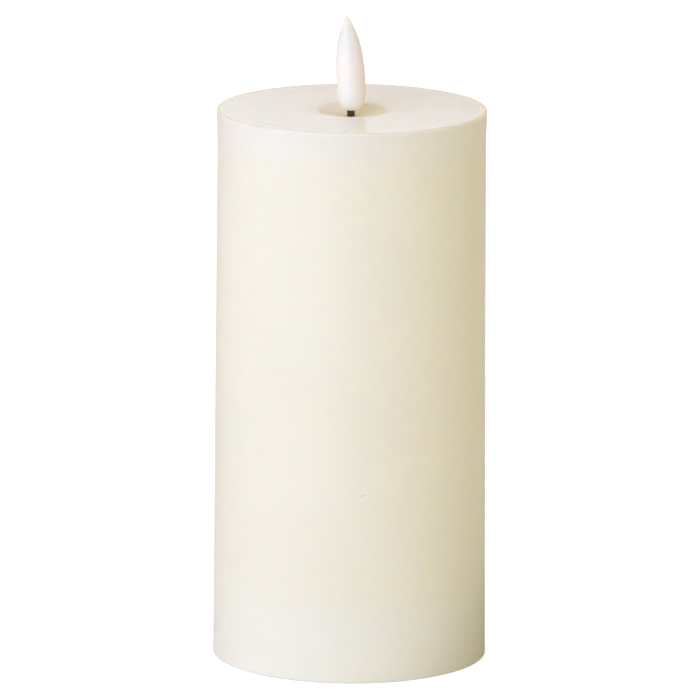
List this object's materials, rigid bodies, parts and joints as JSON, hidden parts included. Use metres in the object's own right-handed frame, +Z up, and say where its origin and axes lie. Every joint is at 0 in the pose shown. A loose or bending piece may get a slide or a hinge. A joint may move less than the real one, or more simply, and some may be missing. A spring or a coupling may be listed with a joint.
{
  "type": "flameless led candle",
  "caption": "Ivory wax pillar candle with a moulded LED flame on a short wick, and a battery base with a slide switch and a snap-shut door under its foot.",
  "frame": {"origin": "middle of the foot, on the surface that the candle stands on", "axes": "+Z up along the candle towards the flame; the front that is looked at faces -Y; +X is to that viewer's right"},
  "size_m": [0.075, 0.075, 0.1778],
  "materials": {
    "ivory_wax": "satin",
    "flame_plastic": "satin",
    "wick_sleeve": "matte",
    "ivory_plastic": "satin",
    "black_plastic": "satin",
    "clear_resin": "gloss",
    "bright_metal": "satin",
    "board_green": "satin",
    "cell_jacket": "gloss",
    "red_insulation": "satin",
    "black_insulation": "satin"
  },
  "bodies": {
    "candle": {"wax_shell": "ivory_wax", "flame_diffuser": "flame_plastic", "flame_led": "clear_resin", "led_leg_positive": "bright_metal", "led_leg_negative": "bright_metal", "wick_sleeve": "wick_sleeve", "wick_holder": "ivory_plastic", "splice_sleeve_positive": "black_insulation", "splice_sleeve_negative": "black_insulation", "lamp_wire_positive": "red_insulation", "lamp_wire_negative": "black_insulation", "base_housing": "ivory_plastic", "base_cover": "ivory_plastic", "cover_screw_1": "bright_metal", "cover_screw_2": "bright_metal", "cover_screw_3": "bright_metal", "cover_screw_4": "bright_metal", "board_screw_1": "bright_metal", "board_screw_2": "bright_metal", "aa_cell_front": "cell_jacket", "aa_cell_back": "cell_jacket", "positive_plate": "bright_metal", "negative_plate": "bright_metal", "negative_spring": "bright_metal", "bridge_plate": "bright_metal", "bridge_spring": "bright_metal", "battery_wire_positive": "red_insulation", "battery_wire_negative": "black_insulation", "circuit_board": "board_green", "controller_chip": "black_plastic", "smoothing_capacitor": "black_plastic", "timer_crystal": "bright_metal", "series_resistor": "ivory_plastic", "ir_receiver": "black_plastic", "lead_socket": "ivory_plastic", "lead_plug": "ivory_plastic", "switch_case": "bright_metal"},
    "door": {"battery_door": "ivory_plastic"},
    "switch": {"switch_knob": "black_plastic", "switch_slider": "black_plastic"}
  },
  "joints": [
    {"name": "door_hinge", "type": "hinge", "parent": "candle", "child": "door", "pos_m": [-0.028, 0, 0.0008], "axis": [0, 1, 0], "range_deg": [0, 75]},
    {"name": "switch_slide", "type": "slide", "parent": "candle", "child": "switch", "axis": [1, 0, 0], "range_m": [-0.002, 0.002]}
  ]
}
